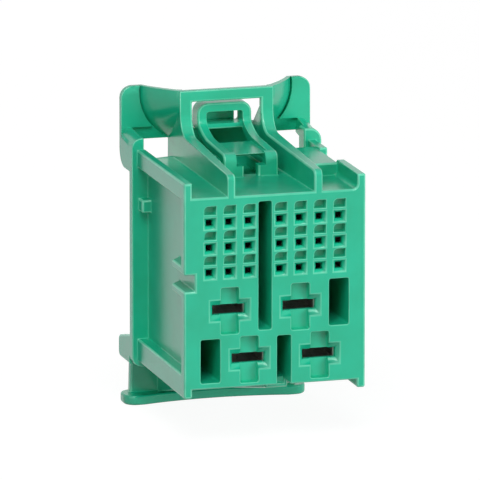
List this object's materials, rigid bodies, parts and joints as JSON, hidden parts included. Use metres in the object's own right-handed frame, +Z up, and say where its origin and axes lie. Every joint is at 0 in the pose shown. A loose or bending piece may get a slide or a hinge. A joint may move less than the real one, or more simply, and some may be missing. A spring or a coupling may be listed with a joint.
{
  "type": "rectangular connector",
  "caption": "Rectangular receptacle connector: a green moulded block with small pin holes and wide blade slots, a guarded latch, stay wings and a foot bar.",
  "frame": {"origin": "centre of the mating face outline, on the mating face", "axes": "+X across the width, to the right seen from the mating side; +Y from the mating face to the wire side; +Z up, towards the latch"},
  "size_m": [0.0394, 0.0453, 0.0649],
  "materials": {
    "housing_plastic": "moulded glass-filled polyester, green, satin",
    "signal_contact_metal": "stamped bronze sheet, tin plated, satin",
    "power_contact_metal": "stamped copper alloy sheet, tin plated, satin"
  },
  "bodies": {
    "root": {"housing": "housing_plastic", "signal_contact_1": "signal_contact_metal", "signal_contact_2": "signal_contact_metal", "signal_contact_3": "signal_contact_metal", "signal_contact_4": "signal_contact_metal", "signal_contact_5": "signal_contact_metal", "signal_contact_6": "signal_contact_metal", "signal_contact_7": "signal_contact_metal", "signal_contact_8": "signal_contact_metal", "signal_contact_9": "signal_contact_metal", "signal_contact_10": "signal_contact_metal", "signal_contact_11": "signal_contact_metal", "signal_contact_12": "signal_contact_metal", "signal_contact_13": "signal_contact_metal", "signal_contact_14": "signal_contact_metal", "signal_contact_15": "signal_contact_metal", "signal_contact_16": "signal_contact_metal", "signal_contact_17": "signal_contact_metal", "signal_contact_18": "signal_contact_metal", "signal_contact_19": "signal_contact_metal", "signal_contact_20": "signal_contact_metal", "signal_contact_21": "signal_contact_metal", "power_contact_1": "power_contact_metal", "power_contact_2": "power_contact_metal", "power_contact_3": "power_contact_metal", "power_contact_4": "power_contact_metal"}
  },
  "joints": []
}
